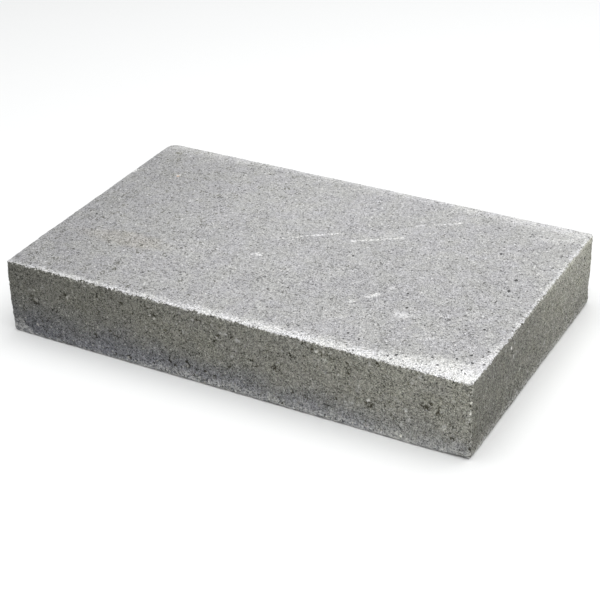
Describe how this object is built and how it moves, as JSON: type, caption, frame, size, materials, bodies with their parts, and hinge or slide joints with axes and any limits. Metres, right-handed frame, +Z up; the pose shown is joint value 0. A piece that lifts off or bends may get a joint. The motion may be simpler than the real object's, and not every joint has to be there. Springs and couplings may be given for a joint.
{
  "type": "concrete wall cap",
  "caption": "Plain rectangular dry-cast concrete slab that lies flat on top of a garden or retaining wall to finish it.",
  "frame": {"origin": "middle of the bed face, on the floor", "axes": "+X along the long side, +Y across the depth towards the back, +Z up out of the weathered top face; the long front face is at -Y and the well rounded vertical corner is at -X +Y"},
  "size_m": [0.4, 0.244, 0.064],
  "materials": {
    "concrete": "matte"
  },
  "bodies": {
    "root": {"wall_cap": "concrete"}
  },
  "joints": []
}
